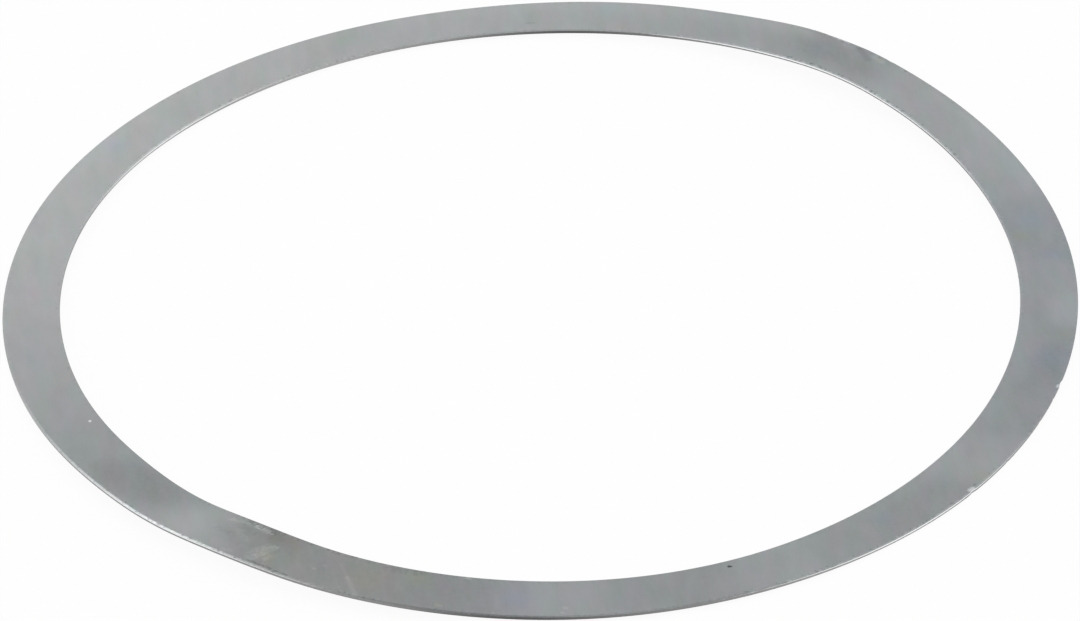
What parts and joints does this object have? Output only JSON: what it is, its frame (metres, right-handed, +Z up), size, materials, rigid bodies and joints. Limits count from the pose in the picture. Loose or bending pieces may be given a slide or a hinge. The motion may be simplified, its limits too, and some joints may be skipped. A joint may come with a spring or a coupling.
{
  "type": "shim ring",
  "caption": "Thin wide-bore steel shim ring, slightly bent across its diameter, for taking up end play beside a bearing.",
  "frame": {"origin": "on the bore's axis, level with the surface that the two feet lie on", "axes": "+Z up along the bore's axis; +X to the right and +Y away from the camera in the picture; the fold runs 49 degrees from +X towards +Y"},
  "size_m": [0.14, 0.14, 0.003],
  "materials": {
    "steel": "cold rolled, satin, lightly marked"
  },
  "bodies": {
    "root": {"shim_ring": "steel"}
  },
  "joints": []
}
